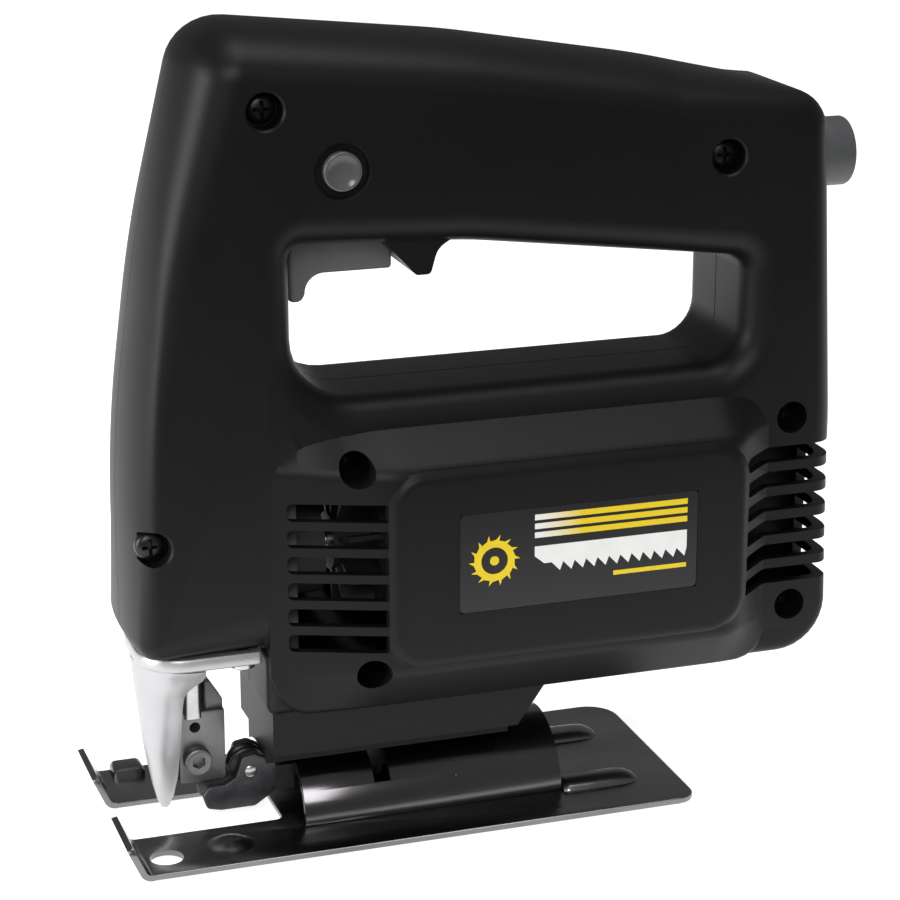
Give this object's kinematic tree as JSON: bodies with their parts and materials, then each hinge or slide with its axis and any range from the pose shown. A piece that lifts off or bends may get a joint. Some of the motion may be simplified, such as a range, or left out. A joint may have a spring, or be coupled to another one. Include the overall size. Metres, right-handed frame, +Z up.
{
  "type": "jigsaw power tool",
  "caption": "D-handle electric jigsaw: two-shell plastic casing, motor, gear and plunger, nose guard, blade guide roller and a tilting pressed-steel sole.",
  "frame": {"origin": "middle of the sole plate's underside", "axes": "+Z up, -X towards the blade end and nose, +X towards the cord, Y = 0 is the plane where the two shells meet; the label is on the -Y side"},
  "size_m": [0.1912, 0.062, 0.1951],
  "materials": {
    "casing_plastic": "fine spark-textured moulding, satin",
    "black_steel": "black zinc screws",
    "label_film": "printed film, gloss",
    "guard_alloy": "satin cast",
    "zinc_steel": "zinc plated",
    "switch_plastic": "moulded",
    "trigger_plastic": "moulded, satin",
    "button_plastic": "moulded, gloss",
    "spring_steel": "drawn wire",
    "sleeve_rubber": "soft moulded",
    "lamination": "stacked sheet",
    "copper": "enamelled winding",
    "ground_steel": "ground",
    "brass": "pressed",
    "carbon": "carbon block",
    "fan_plastic": "moulded",
    "cast_alloy": "die cast",
    "gear_steel": "hobbed",
    "bronze": "sintered",
    "felt": "oiled felt",
    "holder_steel": "phosphated",
    "bracket_steel": "dark bright rolled sheet",
    "sole_steel": "pressed sheet, bright",
    "arm_steel": "cast, tumbled",
    "roller_steel": "black hardened steel"
  },
  "bodies": {
    "casing": {"left_housing": "casing_plastic", "right_housing": "casing_plastic", "casing_screws": "black_steel", "motor_screws": "black_steel", "label_plate": "label_film", "nose_guard": "guard_alloy", "guard_screws": "zinc_steel", "switch_body": "switch_plastic", "trigger_pin": "zinc_steel", "trigger_spring": "spring_steel", "lock_spring": "spring_steel", "cord_sleeve": "sleeve_rubber", "cord_clamp": "switch_plastic", "clamp_screws": "zinc_steel", "stator_core": "lamination", "field_coils": "copper", "front_bearing": "ground_steel", "rear_bearing": "ground_steel", "brush_holders": "brass", "brushes": "carbon", "brush_springs": "spring_steel", "gear_plate": "cast_alloy", "gear_axle": "ground_steel", "lower_bush": "bronze", "upper_bush": "bronze", "dust_seal": "felt", "tilt_bolt": "black_steel", "tilt_nut": "zinc_steel", "guide_arm": "arm_steel", "roller_pin": "ground_steel"},
    "sole": {"sole_plate": "sole_steel", "tilt_bracket": "bracket_steel"},
    "trigger": {"trigger": "trigger_plastic"},
    "lock": {"lock_button": "button_plastic"},
    "armature": {"armature_shaft": "ground_steel", "armature_core": "lamination", "armature_windings": "copper", "commutator": "copper", "cooling_fan": "fan_plastic"},
    "gear": {"drive_gear": "gear_steel", "crank_pin": "ground_steel"},
    "plunger": {"plunger_rod": "ground_steel", "plunger_yoke": "gear_steel", "blade_holder": "holder_steel", "blade_screw": "black_steel"},
    "roller": {"guide_roller": "roller_steel"}
  },
  "joints": [
    {"name": "sole_tilt", "type": "hinge", "parent": "casing", "child": "sole", "pos_m": [0, 0, 0], "axis": [1, 0, 0], "range_deg": [-45, 45]},
    {"name": "trigger_pull", "type": "hinge", "parent": "casing", "child": "trigger", "pos_m": [-0.031, 0, 0.151], "axis": [0, -1, 0], "range_deg": [0, 7.5], "stiffness_Nm_per_rad": 1.2, "springref_deg": -6.88, "deforming": ["trigger_spring"]},
    {"name": "lock_push", "type": "slide", "parent": "casing", "child": "lock", "axis": [0, 1, 0], "range_m": [0, 0.0025], "stiffness_N_per_m": 400, "springref_m": -0.001, "deforming": ["lock_spring"]},
    {"name": "armature_spin", "type": "hinge", "parent": "casing", "child": "armature", "pos_m": [0, 0, 0.068], "axis": [1, 0, 0], "continuous": true},
    {"name": "gear_spin", "type": "hinge", "parent": "casing", "child": "gear", "pos_m": [-0.036, 0, 0.0869], "axis": [1, 0, 0], "continuous": true},
    {"name": "plunger_stroke", "type": "slide", "parent": "casing", "child": "plunger", "axis": [0, 0, 1], "range_m": [0, 0.018]},
    {"name": "roller_spin", "type": "hinge", "parent": "casing", "child": "roller", "pos_m": [-0.0375, 0, 0.0126], "axis": [0, 1, 0], "continuous": true}
  ],
  "couplings": [
    {"joint": "gear_spin", "follows": "armature_spin", "ratio": -0.16667}
  ]
}
